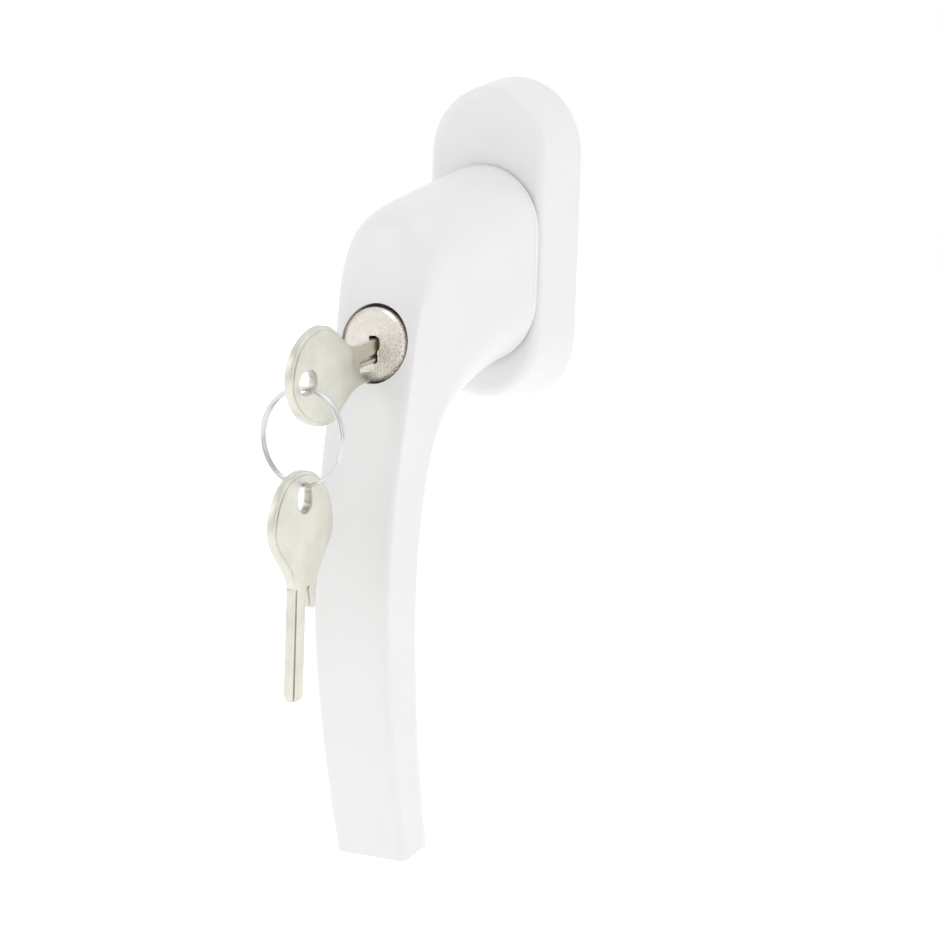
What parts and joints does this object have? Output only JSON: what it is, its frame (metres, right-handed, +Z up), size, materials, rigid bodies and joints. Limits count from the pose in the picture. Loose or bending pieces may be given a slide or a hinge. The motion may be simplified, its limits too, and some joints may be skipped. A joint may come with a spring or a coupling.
{
  "type": "keyed window lock",
  "caption": "Lockable tilt-and-turn window handle with oblong rosette, deep neck, bowed grip, round key cylinder in its front, and keys on a split ring.",
  "frame": {"origin": "centre of the rosette's rear face, on the spindle's axis", "axes": "+Z up along the rosette, -Y from the window frame into the room along the spindle's axis, +X to the right seen from the room"},
  "size_m": [0.033, 0.0985, 0.1609],
  "materials": {
    "white_coat": "satin white powder coat",
    "white_cover": "satin white moulded plastic",
    "zinc_casting": "raw zinc die casting",
    "black_plastic": "moulded bearing plastic",
    "pale_plastic": "natural acetal",
    "spring_steel": "blued spring steel",
    "zinc_plated_steel": "bright zinc plate",
    "satin_nickel": "satin nickel plate on a casting",
    "brass": "machined brass",
    "nickel_silver": "stamped nickel silver, tumbled",
    "bright_steel": "bright nickel-plated wire"
  },
  "bodies": {
    "rosette": {"rosette_cover": "white_cover", "base_plate": "zinc_casting", "bearing_bush": "black_plastic", "detent_springs": "spring_steel"},
    "handle": {"handle_casting": "white_coat", "slide_washer": "pale_plastic", "detent_cam": "pale_plastic", "retaining_ring": "spring_steel", "neck_backplate": "white_cover", "backplate_screws": "zinc_plated_steel", "drive_spigot": "zinc_plated_steel", "cylinder_housing": "zinc_casting", "housing_set_screw": "zinc_plated_steel"},
    "plug": {"plug_cap": "satin_nickel", "cylinder_plug": "brass", "wafers": "brass", "drive_cam": "zinc_casting", "plug_clip": "spring_steel"},
    "lock_slider": {"lock_slider": "zinc_plated_steel"},
    "spindle": {"spindle": "zinc_plated_steel"},
    "key": {"key": "nickel_silver"},
    "key_ring": {"split_ring": "bright_steel"},
    "spare_key": {"spare_key": "nickel_silver"}
  },
  "joints": [
    {"name": "handle_turn", "type": "hinge", "parent": "rosette", "child": "handle", "pos_m": [0, 0, 0], "axis": [0, -1, 0], "range_deg": [-180, 180], "deforming": ["detent_springs"]},
    {"name": "key_turn", "type": "hinge", "parent": "handle", "child": "plug", "pos_m": [0, -0.04, -0.0198], "axis": [0, -1, 0], "range_deg": [0, 90]},
    {"name": "lock_slide", "type": "slide", "parent": "handle", "child": "lock_slider", "axis": [0, 0, 1], "range_m": [0, 0.003]},
    {"name": "key_withdraw", "type": "slide", "parent": "plug", "child": "key", "axis": [0, -0.9816, -0.1908], "range_m": [0, 0.022]},
    {"name": "ring_swing", "type": "hinge", "parent": "key", "child": "key_ring", "pos_m": [0, -0.0745, -0.02771], "axis": [1, 0, 0], "range_deg": [-60, 8]},
    {"name": "spare_key_swing", "type": "hinge", "parent": "key_ring", "child": "spare_key", "pos_m": [0, -0.0745, -0.04691], "axis": [1, 0, 0], "range_deg": [-45, 6]},
    {"name": "spindle_slide", "type": "slide", "parent": "handle", "child": "spindle", "axis": [0, 1, 0], "range_m": [0, 0.02]}
  ],
  "couplings": [
    {"joint": "lock_slide", "follows": "key_turn", "m_per_rad": 0.0019097}
  ]
}
